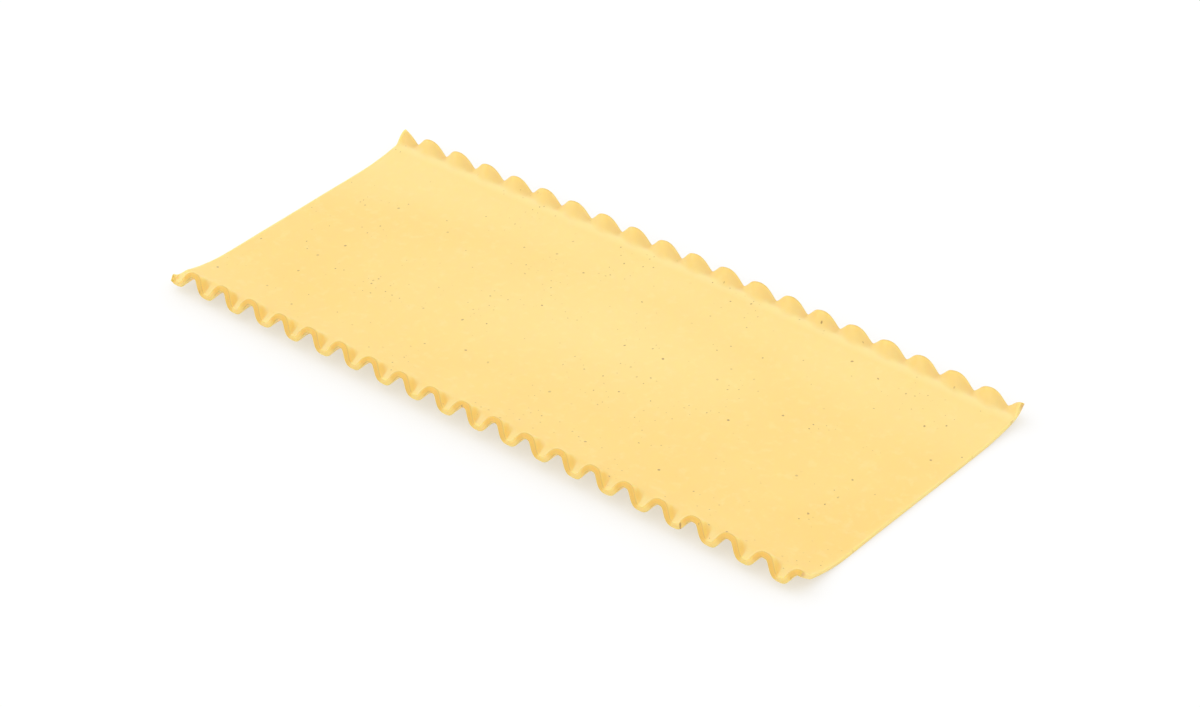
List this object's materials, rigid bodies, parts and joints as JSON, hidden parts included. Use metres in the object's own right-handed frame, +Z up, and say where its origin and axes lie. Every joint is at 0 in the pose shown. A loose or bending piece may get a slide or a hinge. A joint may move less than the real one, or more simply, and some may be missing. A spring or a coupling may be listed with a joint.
{
  "type": "dried lasagna sheet",
  "caption": "Long flat sheet of dried pasta with both long edges turned up and crimped into a ruffle, for layering in a baked dish.",
  "frame": {"origin": "under the middle of the sheet, on the surface that it lies on", "axes": "+X along the sheet, +Y across it towards the long edge that turns up less, +Z up, the side that the ruffles turn to"},
  "size_m": [0.1784, 0.0806, 0.007],
  "materials": {
    "dried_pasta": "dry, pale golden wheat dough, smooth and faintly waxy, with sparse tiny bran specks; deeper golden in the ruffles and on the cut edges"
  },
  "bodies": {
    "root": {"lasagna_sheet": "dried_pasta"}
  },
  "joints": []
}
